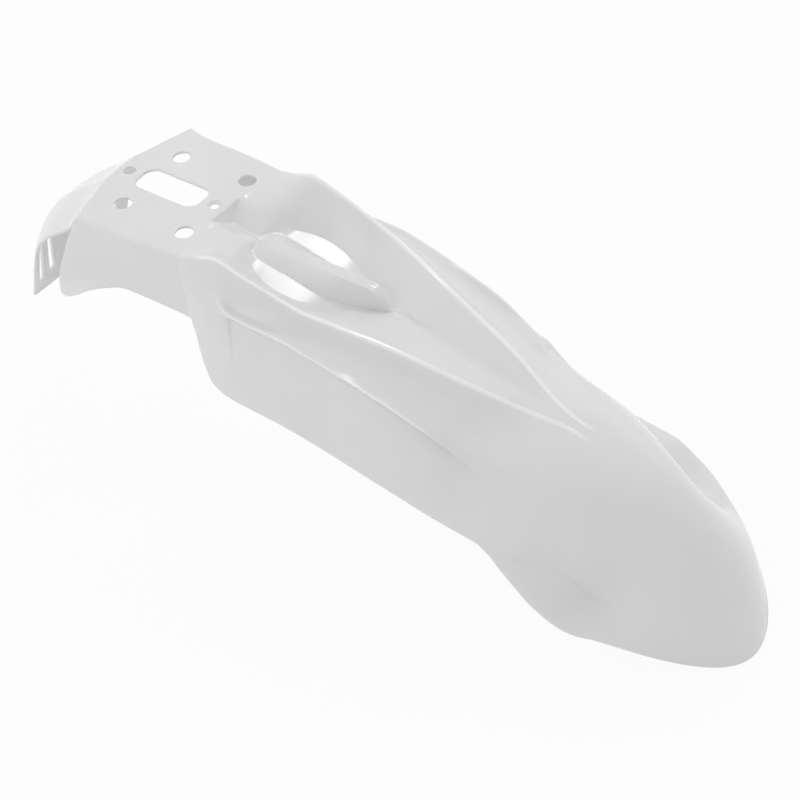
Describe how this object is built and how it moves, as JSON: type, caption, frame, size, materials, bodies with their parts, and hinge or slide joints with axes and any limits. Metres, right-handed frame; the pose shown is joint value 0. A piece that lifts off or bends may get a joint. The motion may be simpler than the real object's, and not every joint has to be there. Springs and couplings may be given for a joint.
{
  "type": "motorcycle front fender",
  "caption": "One-piece moulded front fender for an off-road motorcycle: bolted flat mounting plate, vented rear flap, ribbed body with two rails over a central trough, drooping flared nose.",
  "frame": {"origin": "on the mounting plate's top face, midway between the two front bolt holes", "axes": "+X points forward to the nose, +Y to the rider's left, +Z square to the mounting plate and up"},
  "size_m": [0.686, 0.2018, 0.2371],
  "materials": {
    "moulding": "glossy white polypropylene"
  },
  "bodies": {
    "root": {"fender": "moulding"}
  },
  "joints": []
}
